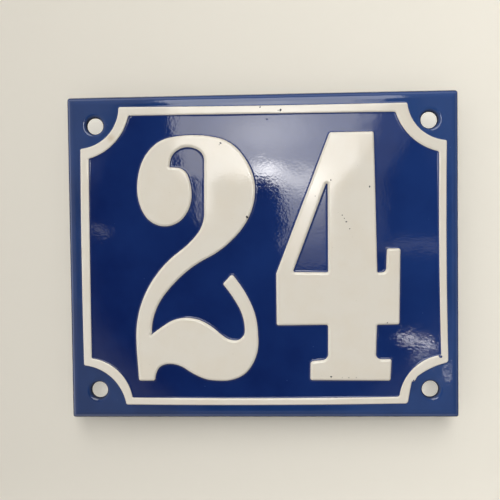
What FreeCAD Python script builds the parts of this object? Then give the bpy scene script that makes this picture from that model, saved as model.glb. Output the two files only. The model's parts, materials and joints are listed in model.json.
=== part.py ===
"""House number plaque, pressed in one piece from sheet steel and enamelled.

The plaque stands upright as it hangs on a wall: X runs to the right as seen
from the front, Z runs up, and the front faces -Y. The origin is the centre of
the four screw holes, on the wall plane that the rim touches. All sizes are in
millimetres, all angles in degrees, and a depth is a distance in front of the
wall.
"""
import FreeCAD
import Part

import math
import os

# Blank: the sheet with its turned-back edge
PLATE_WIDTH = 120.0
PLATE_HEIGHT = 100.0
PLATE_CORNER_RADIUS = 0.8
FIELD_DEPTH = 4.0
EDGE_RADIUS = 3.6
EDGE_BEND = 70.0
SHEET_THICKNESS = 1.2
RIM_BEVEL = 0.3

# Screw holes, with their front edges drawn in
HOLE_INSET = 9.5
HOLE_DIAMETER = 4.9
HOLE_LIP = 0.6

# Raised border line, bent round the screw holes, and its groove at the back
BORDER_INSET = 4.9
BORDER_WIDTH = 2.2
BORDER_RELIEF = 0.7
BORDER_SHOULDER = 0.4
BORDER_ARC_RADIUS = 13.6
BORDER_ARC_OFFSET = 6.0
BORDER_CORNER_RADIUS = 0.7
BORDER_SHIFT_X = 0.3
BORDER_SHIFT_Z = 0.4
GROOVE_WIDTH = 1.0
GROOVE_DEPTH = 0.5

# Raised numerals, hollow at the back
NUMERAL_MARGIN = 5.65
NUMERAL_GAP = 6.0
NUMERAL_SHIFT_X = 1.6
NUMERAL_RELIEF = 1.2
NUMERAL_SHOULDER = 0.6
NUMERAL_CORNER_RADIUS = 0.7
NUMERAL_NOTCH_RADIUS = 0.5
NUMERAL_HOLLOW_INSET = 0.9

# Both numerals are drawn from their own lower left corner, as high and as wide
# as the four, and scaled to fit between the border's long sides. The two is a
# loop of smooth stretches, clockwise, that meet at corners. A node is x, z and
# the heading there, anticlockwise from the X axis.
TWO_NECK_AND_HOOK = [
    (0.6, 0.0, 92), (0.0, 13.3, 90), (13.2, 39.0, 36), (21.1, 50.8, 90),
    (21.1, 66.8, 90), (16.0, 70.5, 180), (10.4, 65.7, 270), (10.4, 64.5, 270)]
TWO_BALL_AND_BOWL = [
    (10.4, 64.5, 0), (12.9, 64.5, 0), (17.1, 56.7, 270), (9.0, 47.1, 180),
    (1.0, 58.3, 90), (6.0, 71.0, 43), (17.7, 74.5, 0), (31.7, 69.6, -50),
    (36.6, 57.8, 270), (31.2, 44.6, 228), (21.7, 37.4, 206),
    (8.2, 25.8, 232), (4.0, 14.8, 270), (4.0, 13.2, 270)]
TWO_WAVE_AND_TAIL = [
    (4.0, 13.2, 38), (15.1, 18.9, 0), (24.4, 14.6, -43), (29.9, 11.8, 0),
    (33.0, 15.3, 90), (26.7, 29.4, 130)]
TWO_TAIL_END = [(26.7, 29.4, 46), (29.1, 31.9, 46)]
TWO_BELLY_AND_FOOT = [
    (29.1, 31.9, -50), (36.8, 13.9, 270), (36.7, 11.7, 270),
    (33.6, 3.3, 233), (26.2, 0.0, 180), (19.6, 1.0, 157), (9.8, 5.3, 180),
    (6.0, 3.5, 240), (5.0, 0.0, 270)]
TWO_FOOT_END = [(5.0, 0.0, 180), (0.6, 0.0, 180)]

# The four is a polygon. A corner is x, z and the radius that rounds it.
CRISP = NUMERAL_CORNER_RADIUS
NOTCH = NUMERAL_NOTCH_RADIUS
FOUR_OUTLINE = [
    (10.1, 0.0, CRISP), (10.1, 5.3, CRISP), (15.4, 5.9, 1.8), (15.4, 16.7, CRISP),
    (0.0, 16.7, CRISP), (0.0, 32.3, 1.5), (16.1, 74.5, 0.9), (28.9, 74.5, CRISP),
    (29.7, 32.1, NOTCH), (33.0, 32.1, 1.4), (33.0, 39.3, CRISP), (36.8, 39.3, CRISP),
    (36.5, 16.8, CRISP), (29.6, 16.8, NOTCH), (29.4, 5.8, 1.5), (34.0, 5.8, CRISP),
    (33.6, 0.0, CRISP)]
FOUR_COUNTER = [(15.5, 61.8, NOTCH), (15.5, 32.3, NOTCH), (4.7, 32.3, NOTCH)]

# An arc that turns less than this is drawn straight, and so is a stretch
# whose two ends turn less than the second value.
STRAIGHT_ARC = 0.05
STRAIGHT_STRETCH = 2.0
# How far a cutting body overshoots the face that it cuts
OVERSHOOT = 1.0
TOLERANCE = 1e-4

BEND_ANGLE = math.radians(EDGE_BEND)
BACK_DEPTH = FIELD_DEPTH - SHEET_THICKNESS
HOLE_X = PLATE_WIDTH / 2.0 - HOLE_INSET
HOLE_Z = PLATE_HEIGHT / 2.0 - HOLE_INSET
NUMERAL_HEIGHT = PLATE_HEIGHT - 2.0 * (BORDER_INSET + BORDER_WIDTH + NUMERAL_MARGIN)
DRAWN_WIDTH = max(corner[0] for corner in FOUR_OUTLINE)
DRAWN_HEIGHT = max(corner[1] for corner in FOUR_OUTLINE)
NUMERAL_SCALE = NUMERAL_HEIGHT / DRAWN_HEIGHT
TWO_LEFT = NUMERAL_SHIFT_X - NUMERAL_GAP / 2.0 - DRAWN_WIDTH * NUMERAL_SCALE
FOUR_LEFT = NUMERAL_SHIFT_X + NUMERAL_GAP / 2.0


def heading_of(start, end):
    """Direction from one point to another."""
    return math.degrees(math.atan2(end[1] - start[1], end[0] - start[0]))


def wrapped(angle):
    """The same angle between -180 and 180 degrees."""
    return (angle + 180.0) % 360.0 - 180.0


def moved(place, heading, length):
    """The point at a length from a place, along a heading."""
    angle = math.radians(heading)
    return (place[0] + length * math.cos(angle), place[1] + length * math.sin(angle))


def on_wall(place):
    """A drawn point x, z as a point of the wall plane."""
    return FreeCAD.Vector(place[0], 0.0, place[1])


def drawn_edge(start, heading, end):
    """Arc that leaves start along a heading and ends at end, or a line."""
    chord = heading_of(start, end)
    turn = wrapped(heading - chord)
    if abs(turn) < STRAIGHT_ARC:
        return Part.LineSegment(on_wall(start), on_wall(end)).toShape()
    rise = math.dist(start, end) / 2.0 * math.tan(math.radians(turn) / 2.0)
    middle = ((start[0] + end[0]) / 2.0, (start[1] + end[1]) / 2.0)
    crown = moved(middle, chord + 90.0, rise)
    return Part.Arc(on_wall(start), on_wall(crown), on_wall(end)).toShape()


def two_arcs(start, start_heading, end, end_heading):
    """Two tangent arcs from start to end with the given headings.

    The tangents at both ends have one length, and the arcs meet halfway
    between the free ends of those tangents.
    """
    a = math.radians(start_heading)
    b = math.radians(end_heading)
    along = (end[0] - start[0]) * (math.cos(a) + math.cos(b))
    along += (end[1] - start[1]) * (math.sin(a) + math.sin(b))
    spread = 2.0 * (1.0 - math.cos(a - b))
    distance = math.dist(start, end) ** 2
    if spread < TOLERANCE:
        tangent = distance / (2.0 * along)
    else:
        tangent = (math.sqrt(along ** 2 + spread * distance) - along) / spread
    free_start = moved(start, start_heading, tangent)
    free_end = moved(end, end_heading, -tangent)
    meeting = ((free_start[0] + free_end[0]) / 2.0, (free_start[1] + free_end[1]) / 2.0)
    passing = heading_of(free_start, free_end)
    return [drawn_edge(start, start_heading, meeting),
            drawn_edge(meeting, passing, end)]


def smooth_stretch(nodes):
    """Edges through nodes of x, z and heading, straight where those agree."""
    edges = []
    for (x0, z0, heading0), (x1, z1, heading1) in zip(nodes, nodes[1:]):
        start = (x0, z0)
        end = (x1, z1)
        chord = heading_of(start, end)
        bend = abs(wrapped(heading0 - chord)) + abs(wrapped(heading1 - chord))
        if bend < STRAIGHT_STRETCH:
            edges.append(drawn_edge(start, chord, end))
        else:
            edges += two_arcs(start, heading0, end, heading1)
    return edges


def rounded_polygon(corners):
    """Closed wire round corners of x, z and rounding radius."""
    roundings = []
    for i, (x, z, radius) in enumerate(corners):
        corner = (x, z)
        heading_in = heading_of(corners[i - 1][:2], corner)
        heading_out = heading_of(corner, corners[(i + 1) % len(corners)][:2])
        turn = math.radians(wrapped(heading_out - heading_in))
        cut = radius * math.tan(abs(turn) / 2.0)
        roundings.append((moved(corner, heading_in, -cut), heading_in,
                          moved(corner, heading_out, cut), heading_out))
    edges = []
    for i, (arrival, heading_in, leaving, heading_out) in enumerate(roundings):
        next_arrival = roundings[(i + 1) % len(roundings)][0]
        edges.append(drawn_edge(arrival, heading_in, leaving))
        edges.append(drawn_edge(leaving, heading_out, next_arrival))
    return Part.Wire(edges)


def standing(wire, depth, height):
    """Solid on a flat wire, from a depth in front of the wall, by a height."""
    face = Part.Face(wire)
    face.translate(FreeCAD.Vector(0.0, -depth, 0.0))
    return face.extrude(FreeCAD.Vector(0.0, -height, 0.0))


def block(wires, depth, height):
    """Solid on an outline, less the openings that follow it in the list."""
    solid = standing(wires[0], depth, height)
    for opening in wires[1:]:
        solid = solid.cut(standing(opening, depth, height))
    return solid


def edges_at_depth(shape, depth):
    """Edges that lie in the plane at a depth in front of the wall."""
    boxes = [(edge, edge.BoundBox) for edge in shape.Edges]
    return [edge for edge, box in boxes
            if abs(box.YMin + depth) < TOLERANCE and abs(box.YMax + depth) < TOLERANCE]


def upright_edges(shape, corners):
    """Edges square to the wall that stand at the given x, z corners."""
    found = []
    for edge in shape.Edges:
        box = edge.BoundBox
        foot = (box.XMin, box.ZMin)
        upright = max(box.XLength, box.ZLength) < TOLERANCE
        if upright and any(math.dist(foot, corner) < TOLERANCE for corner in corners):
            found.append(edge)
    return found


def shouldered(solid, shoulder, depth):
    """Raised form whose top edges, at a depth, slope down to its sides."""
    return solid.makeChamfer(shoulder, edges_at_depth(solid, depth))


def edge_bar(span, length, inset, foot):
    """Bar along Z whose section is the sheet's bent edge on both sides.

    Each edge turns back round an arc, runs out straight and ends in a bevel.
    The section lies inset behind the sheet's front, and its foot is the x, z
    step from the bevel's start to the section's end.
    """
    run_out = FIELD_DEPTH - EDGE_RADIUS * (1.0 - math.cos(BEND_ANGLE)) - RIM_BEVEL
    flat = (span / 2.0 - run_out / math.tan(BEND_ANGLE)
            - EDGE_RADIUS * math.sin(BEND_ANGLE))
    radius = EDGE_RADIUS - inset
    centre_depth = FIELD_DEPTH - EDGE_RADIUS
    arc = [(flat + radius * math.sin(angle), centre_depth + radius * math.cos(angle))
           for angle in (BEND_ANGLE, BEND_ANGLE / 2.0, 0.0)]
    rim = arc[0][0] + (arc[0][1] - RIM_BEVEL) / math.tan(BEND_ANGLE)
    right = [(rim + foot[0], RIM_BEVEL + foot[1]), (rim, RIM_BEVEL)] + arc
    left = [(-x, depth) for x, depth in right]
    places = [FreeCAD.Vector(x, -depth, -length / 2.0) for x, depth in left + right[::-1]]
    edges = []
    for stretch in (places[0:2], places[1:3], places[2:5], places[4:6],
                    places[5:8], places[7:9], places[8:10], [places[9], places[0]]):
        curve = Part.Arc(*stretch) if len(stretch) == 3 else Part.LineSegment(*stretch)
        edges.append(curve.toShape())
    return Part.Face(Part.Wire(edges)).extrude(FreeCAD.Vector(0.0, 0.0, length))


def cushion(inset, foot):
    """Blank with all four sides bent back and mitred at its corners."""
    width_bar = edge_bar(PLATE_WIDTH, PLATE_HEIGHT, inset, foot)
    height_bar = edge_bar(PLATE_HEIGHT, PLATE_WIDTH, inset, foot)
    height_bar.rotate(FreeCAD.Vector(), FreeCAD.Vector(0.0, 1.0, 0.0), 90.0)
    return width_bar.common(height_bar)


def outline_prism():
    """Prism of the blank's outline with its rounded corners."""
    x = PLATE_WIDTH / 2.0
    z = PLATE_HEIGHT / 2.0
    corners = [(side * x, end * z, PLATE_CORNER_RADIUS)
               for side, end in ((-1, -1), (1, -1), (1, 1), (-1, 1))]
    return standing(rounded_polygon(corners), 0.0, FIELD_DEPTH)


def drilled(solid):
    """Blank with its four screw holes and their drawn-in front edges."""
    radius = HOLE_DIAMETER / 2.0
    for x in (-HOLE_X, HOLE_X):
        for z in (-HOLE_Z, HOLE_Z):
            solid = solid.cut(Part.makeCylinder(
                radius, FIELD_DEPTH + 2.0 * OVERSHOOT,
                FreeCAD.Vector(x, OVERSHOOT, z), FreeCAD.Vector(0.0, -1.0, 0.0)))
    mouths = [edge for edge in edges_at_depth(solid, FIELD_DEPTH)
              if abs(edge.BoundBox.XLength - HOLE_DIAMETER) < TOLERANCE]
    return solid.makeChamfer(HOLE_LIP, mouths)


def border_wire(offset):
    """Loop at an offset inside the border line's outer edge."""
    side = PLATE_WIDTH / 2.0 - BORDER_INSET - offset
    top = PLATE_HEIGHT / 2.0 - BORDER_INSET - offset
    centre_x = HOLE_X + BORDER_ARC_OFFSET
    centre_z = HOLE_Z + BORDER_ARC_OFFSET
    radius = BORDER_ARC_RADIUS + offset
    arc_x = centre_x - math.sqrt(radius ** 2 - (centre_z - top) ** 2)
    arc_z = centre_z - math.sqrt(radius ** 2 - (centre_x - side) ** 2)
    middle = radius * math.sqrt(0.5)
    arcs = []
    for turn_x, turn_z in ((1, 1), (1, -1), (-1, -1), (-1, 1)):
        arc = [on_wall((turn_x * x, turn_z * z)) for x, z in (
            (arc_x, top), (centre_x - middle, centre_z - middle), (side, arc_z))]
        if turn_x != turn_z:
            arc.reverse()
        arcs.append(arc)
    edges = []
    for i, arc in enumerate(arcs):
        edges.append(Part.LineSegment(arcs[i - 1][2], arc[0]).toShape())
        edges.append(Part.Arc(*arc).toShape())
    wire = Part.Wire(edges)
    wire.translate(FreeCAD.Vector(BORDER_SHIFT_X, 0.0, BORDER_SHIFT_Z))
    return wire


def border_wires(inset):
    """Outer and inner loop of the border line, drawn in by an inset."""
    return [border_wire(inset), border_wire(BORDER_WIDTH - inset)]


def raised_border():
    """Border line as pressed, with rounded corners and sloped shoulders."""
    wires = border_wires(0.0)
    solid = block(wires, FIELD_DEPTH, BORDER_RELIEF)
    corners = [(vertex.X, vertex.Z) for wire in wires for vertex in wire.Vertexes]
    solid = solid.makeFillet(BORDER_CORNER_RADIUS, upright_edges(solid, corners))
    return shouldered(solid, BORDER_SHOULDER, FIELD_DEPTH + BORDER_RELIEF)


def drawn_in(wire, inset):
    """Closed wire at an inset inside another one."""
    if inset == 0.0:
        return wire
    return wire.makeOffset2D(-inset, 2, False, False, False)


def placed_numeral(nodes, left):
    """Drawn nodes at the numeral's real size and place."""
    foot = -NUMERAL_HEIGHT / 2.0
    return [(left + NUMERAL_SCALE * x, foot + NUMERAL_SCALE * z, last)
            for x, z, last in nodes]


def two_stretches():
    """Smooth stretches of the two, each from one corner to the next."""
    return [placed_numeral(nodes, TWO_LEFT) for nodes in (
        TWO_NECK_AND_HOOK, TWO_BALL_AND_BOWL, TWO_WAVE_AND_TAIL, TWO_TAIL_END,
        TWO_BELLY_AND_FOOT, TWO_FOOT_END)]


def two_wires(inset):
    """Outline of the two, drawn in by an inset."""
    edges = []
    for nodes in two_stretches():
        edges += smooth_stretch(nodes)
    return [drawn_in(Part.Wire(edges), inset)]


def raised_two():
    """The two as pressed, with rounded corners and sloped shoulders."""
    solid = block(two_wires(0.0), FIELD_DEPTH, NUMERAL_RELIEF)
    foot, hook, notch, tail, tip, sole = [nodes[0][:2] for nodes in two_stretches()]
    solid = solid.makeFillet(NUMERAL_CORNER_RADIUS,
                             upright_edges(solid, [foot, tail, tip, sole]))
    solid = solid.makeFillet(NUMERAL_NOTCH_RADIUS, upright_edges(solid, [hook, notch]))
    return shouldered(solid, NUMERAL_SHOULDER, FIELD_DEPTH + NUMERAL_RELIEF)


def four_wires(inset):
    """Outline and counter of the four, drawn in by an inset."""
    outline = rounded_polygon(placed_numeral(FOUR_OUTLINE, FOUR_LEFT))
    counter = rounded_polygon(placed_numeral(FOUR_COUNTER, FOUR_LEFT))
    return [drawn_in(outline, inset), drawn_in(counter, -inset)]


def raised_four():
    """The four as pressed, with its open counter and sloped shoulders."""
    solid = block(four_wires(0.0), FIELD_DEPTH, NUMERAL_RELIEF)
    return shouldered(solid, NUMERAL_SHOULDER, FIELD_DEPTH + NUMERAL_RELIEF)


def back_hollow():
    """What the pressing leaves open behind the sheet, down to the wall."""
    reach = RIM_BEVEL + OVERSHOOT
    hollow = cushion(SHEET_THICKNESS, (reach, -reach))
    groove_inset = (BORDER_WIDTH - GROOVE_WIDTH) / 2.0
    return hollow.fuse([
        block(border_wires(groove_inset), 0.0, BACK_DEPTH + GROOVE_DEPTH),
        block(two_wires(NUMERAL_HOLLOW_INSET), 0.0, BACK_DEPTH + NUMERAL_RELIEF),
        block(four_wires(NUMERAL_HOLLOW_INSET), 0.0, BACK_DEPTH + NUMERAL_RELIEF)])


def plaque():
    """The whole pressing: blank, holes, raised forms and their hollows."""
    blank = cushion(0.0, (-RIM_BEVEL, -RIM_BEVEL)).common(outline_prism())
    front = drilled(blank).fuse([raised_border(), raised_two(), raised_four()])
    return front.cut(back_hollow()).Solids[0]


def main():
    os.makedirs("parts", exist_ok=True)
    plaque().exportStep(os.path.join("parts", "plaque.step"))


main()
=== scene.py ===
"""House number plaque of pressed steel in blue and white vitreous enamel.

The plaque hangs upright, as it does on a wall: X runs to the right as seen
from the front, Z runs up, and the front faces -Y. The origin is the centre of
the four screw holes, on the wall plane that the rim touches. Surfaces are
worked out in millimetres, and a mesh takes them in metres.

A place in the plane of the wall is one complex number, x + 1j * z. The front
is one flat grid that is laid over the plate, carried round its bent edge and
into its screw holes, raised inside the outlines of the white parts and cut
along those outlines. The back is a second such grid.
"""

import json
import math
from collections import namedtuple

import bpy
import numpy as np
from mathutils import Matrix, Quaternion, Vector


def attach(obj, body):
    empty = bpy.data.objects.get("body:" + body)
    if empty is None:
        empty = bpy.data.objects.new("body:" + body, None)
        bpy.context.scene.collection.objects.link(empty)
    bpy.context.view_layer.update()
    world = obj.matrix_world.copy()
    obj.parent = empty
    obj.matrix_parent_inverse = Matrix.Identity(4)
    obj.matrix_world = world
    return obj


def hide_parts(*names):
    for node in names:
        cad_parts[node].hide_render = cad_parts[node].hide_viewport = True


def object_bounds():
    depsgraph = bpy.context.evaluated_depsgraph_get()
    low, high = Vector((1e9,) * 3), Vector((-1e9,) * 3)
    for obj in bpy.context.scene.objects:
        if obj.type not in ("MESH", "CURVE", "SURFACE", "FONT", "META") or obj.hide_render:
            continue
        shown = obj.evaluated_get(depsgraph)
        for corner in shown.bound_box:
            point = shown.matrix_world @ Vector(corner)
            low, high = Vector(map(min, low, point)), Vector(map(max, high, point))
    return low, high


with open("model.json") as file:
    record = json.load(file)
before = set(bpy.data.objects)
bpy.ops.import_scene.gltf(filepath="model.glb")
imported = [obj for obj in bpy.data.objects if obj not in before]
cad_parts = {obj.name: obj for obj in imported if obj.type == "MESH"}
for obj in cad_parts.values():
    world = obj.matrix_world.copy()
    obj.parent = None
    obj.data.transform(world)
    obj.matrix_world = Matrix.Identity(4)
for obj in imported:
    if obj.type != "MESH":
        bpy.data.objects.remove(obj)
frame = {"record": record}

bl_info = {
    "name": "Enamelled house number",
    "version": (1, 0, 0),
    "blender": (4, 5, 0),
    "location": "View3D > Sidebar > House number",
    "description": "Enamelled surfaces of a pressed house number plaque and their studio",
    "category": "Add Mesh",
}

MM = 0.001
NODE = "plaque"
BODY = "root"

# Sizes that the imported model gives
CAD_LOW, CAD_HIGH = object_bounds()
HALF_WIDTH = CAD_HIGH.x / MM
HALF_HEIGHT = CAD_HIGH.z / MM
SCREW_HOLES = next(m for m in frame["record"]["mounts"] if m["name"] == "screw_holes")
HOLE_PLACE = complex(SCREW_HOLES["dims"]["spacing_x_mm"], SCREW_HOLES["dims"]["spacing_y_mm"]) / 2.0
HOLE_RADIUS = SCREW_HOLES["dims"]["hole_r_mm"]
BACK_DEPTH = -SCREW_HOLES["pos_m"][1] / MM

# Outline of the white parts. A node is x, z and the heading there in degrees,
# anticlockwise from the X axis. Both numerals start at their lower left corner.
TWO_CORNER = complex(-38.2, -37.25)
FOUR_CORNER = complex(4.6, -37.25)
TWO_STRETCHES = [
    [(0.2, -0.2, 92), (-0.4, 13.1, 90), (13.1, 39.1, 36), (20.9, 50.8, 90),
     (21.1, 66.7, 90), (16.1, 70.7, 180), (10.7, 65.6, 270), (10.5, 64.7, 270)],
    [(10.5, 64.7, 0), (12.4, 64.6, 0), (17.2, 56.6, 270), (9.0, 46.9, 180),
     (0.6, 58.1, 90), (5.4, 70.9, 43), (17.5, 74.3, 0), (31.8, 69.3, -50),
     (36.4, 57.8, 270), (31.1, 44.4, 228), (21.8, 37.2, 206),
     (8.5, 26.1, 232), (4.4, 14.6, 270), (3.8, 13.5, 270)],
    [(3.8, 13.5, 38), (15.0, 19.0, 0), (24.5, 14.8, -43), (29.9, 12.0, 0),
     (32.8, 15.0, 90), (26.3, 29.2, 130)],
    [(26.3, 29.2, 46), (29.1, 32.2, 46)],
    [(29.1, 32.2, -50), (36.8, 13.7, 270), (36.9, 11.7, 270),
     (34.1, 3.3, 233), (26.1, -0.3, 180), (19.4, 0.7, 157), (9.8, 4.9, 180),
     (6.1, 3.2, 240), (5.2, -0.2, 270)],
    [(5.2, -0.2, 180), (0.2, -0.2, 180)]]
TWO_RADII = [0.6, 0.4, 0.3, 0.6, 0.7, 0.6]

# A corner of a straight-sided or bowed outline is x, z, the bow of the side
# that follows it, to the left of its course, and the radius that rounds it.
FOUR_OUTLINE = [
    (9.7, -0.2, 0, 0.6), (9.8, 5.5, 0, 0.8), (15.1, 6.1, 0, 1.8), (15.2, 16.6, 0, 0.6),
    (-0.3, 16.5, 0, 0.6), (-0.3, 32.2, 0, 1.5), (16.1, 74.4, 0, 0.9), (29.2, 74.4, 0, 0.6),
    (30.0, 32.2, 0, 0.4), (32.6, 32.2, 0, 1.4), (32.9, 39.4, 0, 0.6), (36.9, 39.4, 0, 0.6),
    (36.5, 16.6, 0, 0.6), (29.8, 16.5, 0, 0.4), (29.4, 6.1, 0, 1.5), (34.1, 6.1, 0, 0.6),
    (33.7, -0.4, 0, 0.6)]
FOUR_COUNTER = [(15.4, 60.4, 0, 0.3), (15.3, 32.4, 0, 0.4), (4.7, 32.6, 0, 0.4)]
BORDER_OUTER = [
    (55.6, -32.2, 0.32, 0.9), (55.4, 34.2, 3.0, 0.5), (43.8, 45.5, 0.2, 0.5),
    (-42.9, 45.9, 3.35, 0.5), (-54.8, 33.5, -0.2, 0.5), (-54.9, -32.7, 3.0, 0.5),
    (-42.0, -44.8, -0.3, 0.5), (43.5, -44.6, 0.05, 0.9), (44.7, -38.0, 0, 0.2),
    (45.6, -37.8, 0, 0.2), (46.4, -36.4, 0.55, 0.5)]
BORDER_INNER = [
    (53.5, -30.0, 0.25, 0.3), (53.1, 30.9, 2.35, 0.6), (40.3, 42.9, 0, 0.8),
    (-40.0, 43.3, 2.5, 0.5), (-52.3, 30.5, -0.1, 0.4), (-52.5, -30.6, 2.85, 0.4),
    (-40.1, -42.7, -0.33, 0.4), (41.0, -42.6, 3.05, 0.8)]

# Pinholes in the white, where the dark ground coat shows: x, z and radius
PINHOLES = [
    (-12.0, 34.4, 0.30), (-12.4, 33.9, 0.14), (-4.3, 12.1, 0.38), (0.0, 45.0, 0.24),
    (6.1, 44.0, 0.38), (5.4, 43.9, 0.14), (20.9, 22.8, 0.22), (32.4, 20.7, 0.26),
    (24.2, 12.3, 0.17), (24.8, 11.3, 0.15), (25.4, 10.3, 0.24), (26.4, 8.2, 0.17),
    (16.2, 18.1, 0.13), (20.5, -36.3, 0.28), (25.8, -36.6, 0.15), (28.0, -36.6, 0.12),
    (37.4, -20.1, 0.18), (23.8, -36.6, 0.10)]
# Spots where blue enamel ran over the border line: x, z and radius
BLUE_RUNS = [(-39.5, 42.9, 0.42), (53.2, -30.4, 0.50), (45.2, -37.6, 0.22), (2.0, 41.5, 0.30)]

# Places along the edge's profile where its widest reach is looked for
PROFILE_TESTS = 400
# How near to the line a cut may come to a corner of the mesh, as a share of
# the edge that it cuts, so that no sliver is left
CUT_MARGIN = 0.05
# Step of the parameters that a surface's slope is taken over
SLOPE_STEP = 0.03
# Below this turn, in radians, an edge is a straight line
STRAIGHT = 1e-4
# Below this bend, in radians, a stretch between two nodes is straight
STRAIGHT_STRETCH = math.radians(2.0)
# Over these widths in millimetres the blue darkens towards the rim and towards a screw hole: the enamel
# burns thin there, and painted shade stands in for the shade of the turned edge and of the hole's lip
RIM_BURN_AND_SHADE = 0.9
HOLE_BURN_AND_SHADE = 0.6
# Weight that lets the squarer of two equally near edges decide the side
TIE = 1e-6
# A length in millimetres, or a slope, that counts as nothing
SMALL = 1e-6

Edge = namedtuple("Edge", "start heading length turn")


class PlaqueSheet(bpy.types.PropertyGroup):
    """Pressed sheet: its bent edge, its holes and its waviness."""

    depth: bpy.props.FloatProperty(
        name="Depth", description="How far the flat field stands before the wall",
        default=4.0 * MM, min=0.0, unit="LENGTH")
    edge_radius: bpy.props.FloatProperty(
        name="Edge radius", description="Outer radius of the turned-back edge",
        default=2.6 * MM, min=0.0, unit="LENGTH")
    edge_bend: bpy.props.FloatProperty(
        name="Edge bend", description="Angle by which the edge is turned back",
        default=math.radians(70.0), min=0.1, max=math.pi / 2.0, subtype="ANGLE")
    thickness: bpy.props.FloatProperty(
        name="Thickness", description="Steel sheet with its enamel",
        default=1.2 * MM, min=0.0, unit="LENGTH")
    rim_radius: bpy.props.FloatProperty(
        name="Rim radius", description="Rounding of the enamel on the rim",
        default=0.3 * MM, min=0.0, unit="LENGTH")
    corner_power: bpy.props.FloatProperty(
        name="Corner power", description="Power of the curve that rounds the plate's corners",
        default=9.0, min=2.0)
    hole_lip: bpy.props.FloatProperty(
        name="Hole lip", description="Radius of the drawn-in edge of a screw hole",
        default=1.1 * MM, min=0.0, unit="LENGTH")
    wave_height: bpy.props.FloatProperty(
        name="Wave height", description="Height of the long waves that pressing and firing leave",
        default=0.022 * MM, min=0.0, unit="LENGTH")
    front_cell: bpy.props.FloatProperty(
        name="Front cell", description="Cell of the front surface's grid",
        default=0.28 * MM, min=0.1 * MM, unit="LENGTH")
    back_cell: bpy.props.FloatProperty(
        name="Back cell", description="Cell of the back surface's grid",
        default=0.45 * MM, min=0.1 * MM, unit="LENGTH")


class PlaqueRelief(bpy.types.PropertyGroup):
    """Raised numerals and border line, and their hollows at the back."""

    numeral_height: bpy.props.FloatProperty(
        name="Numeral height", description="How far the numerals stand out",
        default=0.8 * MM, min=0.0, unit="LENGTH")
    numeral_shoulder: bpy.props.FloatProperty(
        name="Numeral shoulder", description="Width of the round shoulder inside the colour edge",
        default=0.75 * MM, min=0.0, unit="LENGTH")
    numeral_foot: bpy.props.FloatProperty(
        name="Numeral foot", description="Width of the round foot outside the colour edge",
        default=0.45 * MM, min=0.0, unit="LENGTH")
    border_height: bpy.props.FloatProperty(
        name="Border height", description="How far the border line stands out",
        default=0.45 * MM, min=0.0, unit="LENGTH")
    border_shoulder: bpy.props.FloatProperty(
        name="Border shoulder", description="Width of the border line's round shoulder",
        default=0.38 * MM, min=0.0, unit="LENGTH")
    border_foot: bpy.props.FloatProperty(
        name="Border foot", description="Width of the border line's round foot",
        default=0.36 * MM, min=0.0, unit="LENGTH")
    back_inset: bpy.props.FloatProperty(
        name="Back inset", description="How far inside the outline a numeral's hollow slopes",
        default=1.0 * MM, min=0.0, unit="LENGTH")
    groove_inset: bpy.props.FloatProperty(
        name="Groove inset", description="How far inside the border line its groove slopes",
        default=0.6 * MM, min=0.0, unit="LENGTH")


def linear(hex_colour):
    """Scene colour of an sRGB hex value.

    Each channel c becomes c / 12.92 up to 0.04045, and past that
    ((c + 0.055) / 1.055) to the power 2.4.
    """
    channels = [int(hex_colour[i:i + 2], 16) / 255.0 for i in (1, 3, 5)]
    return [c / 12.92 if c <= 0.04045 else ((c + 0.055) / 1.055) ** 2.4 for c in channels]


class PlaqueColours(bpy.types.PropertyGroup):
    """Colours of the enamels and how rough their fired surface is."""

    blue: bpy.props.FloatVectorProperty(
        name="Blue", description="Cobalt blue enamel where it is thick",
        subtype="COLOR", size=3, min=0.0, max=1.0, default=linear("#0b1f55"))
    blue_thin: bpy.props.FloatVectorProperty(
        name="Thin blue", description="Cobalt blue enamel where it is thinner",
        subtype="COLOR", size=3, min=0.0, max=1.0, default=linear("#19336e"))
    # Painted sheen: the margin's blues are lighter than the field's, standing in for the light that the
    # margin and its turned edge reflect
    margin: bpy.props.FloatVectorProperty(
        name="Margin", description="Blue enamel on the margin where it is thick",
        subtype="COLOR", size=3, min=0.0, max=1.0, default=linear("#122d5d"))
    margin_thin_painted_sheen: bpy.props.FloatVectorProperty(
        name="Thin margin", description="Blue enamel on the margin where it is thinner",
        subtype="COLOR", size=3, min=0.0, max=1.0, default=linear("#203f77"))
    white: bpy.props.FloatVectorProperty(
        name="White", description="Ivory white enamel",
        subtype="COLOR", size=3, min=0.0, max=1.0, default=linear("#ddd8cd"))
    white_warm: bpy.props.FloatVectorProperty(
        name="Warm white", description="Ivory white enamel where it has yellowed",
        subtype="COLOR", size=3, min=0.0, max=1.0, default=linear("#dbd4c6"))
    ground: bpy.props.FloatVectorProperty(
        name="Ground coat", description="Dark ground coat on the back and in pinholes",
        subtype="COLOR", size=3, min=0.0, max=1.0, default=linear("#14161c"))
    ground_thin: bpy.props.FloatVectorProperty(
        name="Thin ground coat", description="Ground coat where the steel shows through it",
        subtype="COLOR", size=3, min=0.0, max=1.0, default=linear("#3a3f4a"))
    dust: bpy.props.FloatVectorProperty(
        name="Dust", description="Pale specks fired into the blue",
        subtype="COLOR", size=3, min=0.0, max=1.0, default=linear("#5870a8"))
    boiled: bpy.props.FloatVectorProperty(
        name="Boiled dots", description="Dots where the white glass boiled",
        subtype="COLOR", size=3, min=0.0, max=1.0, default=linear("#a39a86"))
    rust: bpy.props.FloatVectorProperty(
        name="Rust", description="Rust stain on the border line",
        subtype="COLOR", size=3, min=0.0, max=1.0, default=linear("#b9a27c"))
    front_roughness: bpy.props.FloatProperty(
        name="Front roughness", description="Roughness of the fired gloss enamel",
        subtype="FACTOR", default=0.035, min=0.0, max=1.0)
    back_roughness: bpy.props.FloatProperty(
        name="Back roughness", description="Roughness of the thin ground coat",
        subtype="FACTOR", default=0.38, min=0.0, max=1.0)


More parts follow.
